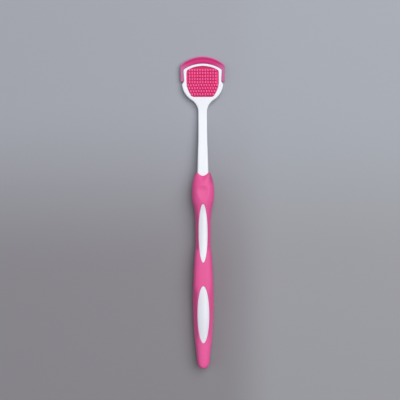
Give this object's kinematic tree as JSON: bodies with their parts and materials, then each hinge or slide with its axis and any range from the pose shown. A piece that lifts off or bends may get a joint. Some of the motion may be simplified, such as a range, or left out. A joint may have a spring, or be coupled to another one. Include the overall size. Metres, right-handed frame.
{
  "type": "tongue scraper",
  "caption": "Tongue cleaner with a shield-shaped head, a curved soft scraper lip, a pad of soft nubs, a slim rigid neck and a contoured overmoulded grip with bare oval lands.",
  "frame": {"origin": "middle of the tool's length and width, on the surface that it lies on with its back down", "axes": "+Y along the tool towards the head's tip, +Z out of the front, the side with the nubs, +X to the right as seen from the front with the head up"},
  "size_m": [0.0274, 0.19, 0.0121],
  "materials": {
    "core": "smooth gloss, opaque white",
    "lip": "smooth satin silicone, magenta, slightly see-through at its thin edge",
    "pad": "smooth satin silicone, deep pink",
    "grip": "satin soft-touch elastomer, pink"
  },
  "bodies": {
    "root": {"handle_core": "core", "scraper_lip": "lip", "nub_pad": "pad", "grip_sleeve": "grip"}
  },
  "joints": []
}
